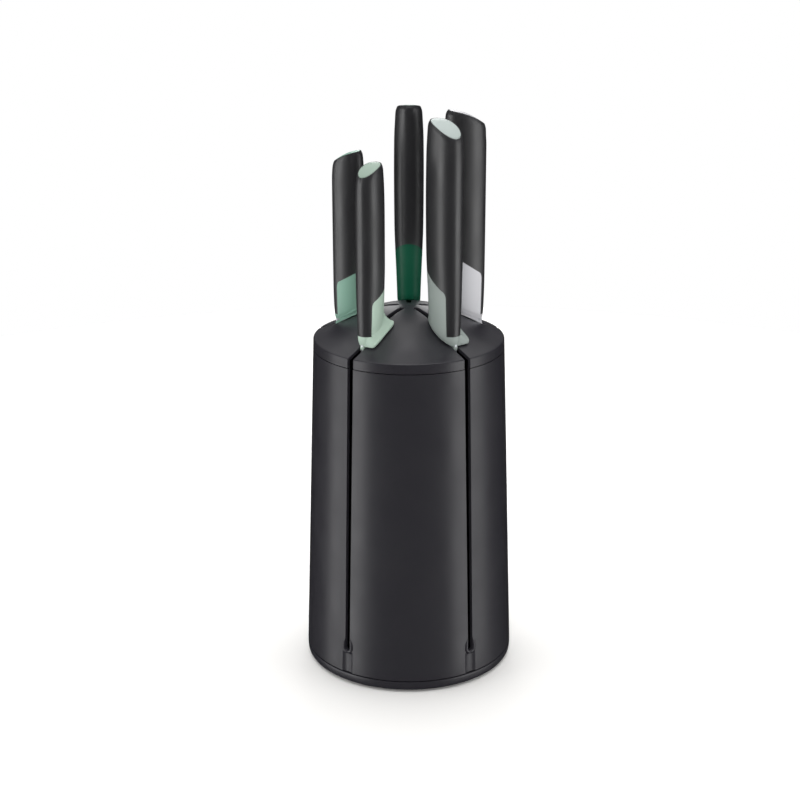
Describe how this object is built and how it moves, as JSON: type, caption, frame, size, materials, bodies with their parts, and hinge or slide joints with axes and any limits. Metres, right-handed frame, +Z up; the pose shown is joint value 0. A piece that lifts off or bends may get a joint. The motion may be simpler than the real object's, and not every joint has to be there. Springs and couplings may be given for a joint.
{
  "type": "knife block with knives",
  "caption": "Round tapered knife block that turns on its base, with kitchen knives standing in slots that run over the lid's rim and down its side.",
  "frame": {"origin": "centre of the underside of the non-slip ring, on the block's turning axis", "axes": "+Z up along the turning axis; the front of the block, midway between the paring and santoku knives, faces -Y; +X to the right seen from the front"},
  "size_m": [0.1374, 0.1374, 0.365],
  "materials": {
    "block_plastic": "fine moulded texture, satin matt",
    "inner_plastic": "plain moulded, matt",
    "soft_grip": "soft-touch thermoplastic rubber, satin",
    "blade_steel": "satin ground stainless steel",
    "zinc_steel": "zinc-plated steel",
    "acetal": "smooth, natural white",
    "rubber_foot": "matt",
    "paring_colour": "moulded coloured plastic, satin",
    "utility_colour": "moulded coloured plastic, satin",
    "bread_colour": "moulded coloured plastic, satin",
    "chefs_colour": "moulded coloured plastic, satin",
    "santoku_colour": "moulded coloured plastic, satin"
  },
  "bodies": {
    "base": {"stationary_base": "block_plastic", "slip_ring": "acetal", "non_slip_ring": "rubber_foot", "pivot_washer": "zinc_steel", "pivot_screw": "zinc_steel"},
    "carousel": {"carousel_shell": "block_plastic", "top_lid": "block_plastic", "blade_guide": "inner_plastic", "turntable_floor": "inner_plastic", "floor_screw_1": "zinc_steel", "floor_screw_2": "zinc_steel", "floor_screw_3": "zinc_steel", "floor_screw_4": "zinc_steel", "floor_screw_5": "zinc_steel"},
    "paring_knife": {"paring_blade": "blade_steel", "paring_bolster": "paring_colour", "paring_grip": "soft_grip", "paring_weight": "zinc_steel", "paring_end_cap": "paring_colour"},
    "utility_knife": {"utility_blade": "blade_steel", "utility_bolster": "utility_colour", "utility_grip": "soft_grip", "utility_weight": "zinc_steel", "utility_end_cap": "utility_colour"},
    "bread_knife": {"bread_blade": "blade_steel", "bread_bolster": "bread_colour", "bread_grip": "soft_grip", "bread_weight": "zinc_steel", "bread_end_cap": "bread_colour"},
    "chefs_knife": {"chefs_blade": "blade_steel", "chefs_bolster": "chefs_colour", "chefs_grip": "soft_grip", "chefs_weight": "zinc_steel", "chefs_end_cap": "chefs_colour"},
    "santoku_knife": {"santoku_blade": "blade_steel", "santoku_bolster": "santoku_colour", "santoku_grip": "soft_grip", "santoku_weight": "zinc_steel", "santoku_end_cap": "santoku_colour"}
  },
  "joints": [
    {"name": "carousel_spin", "type": "hinge", "parent": "base", "child": "carousel", "pos_m": [0, 0, 0.01], "axis": [0, 0, 1], "continuous": true},
    {"name": "paring_lift", "type": "slide", "parent": "carousel", "child": "paring_knife", "axis": [0, 0, 1], "range_m": [0, 0.108]},
    {"name": "utility_lift", "type": "slide", "parent": "carousel", "child": "utility_knife", "axis": [0, 0, 1], "range_m": [0, 0.134]},
    {"name": "bread_lift", "type": "slide", "parent": "carousel", "child": "bread_knife", "axis": [0, 0, 1], "range_m": [0, 0.219]},
    {"name": "chefs_lift", "type": "slide", "parent": "carousel", "child": "chefs_knife", "axis": [0, 0, 1], "range_m": [0, 0.184]},
    {"name": "santoku_lift", "type": "slide", "parent": "carousel", "child": "santoku_knife", "axis": [0, 0, 1], "range_m": [0, 0.159]}
  ]
}
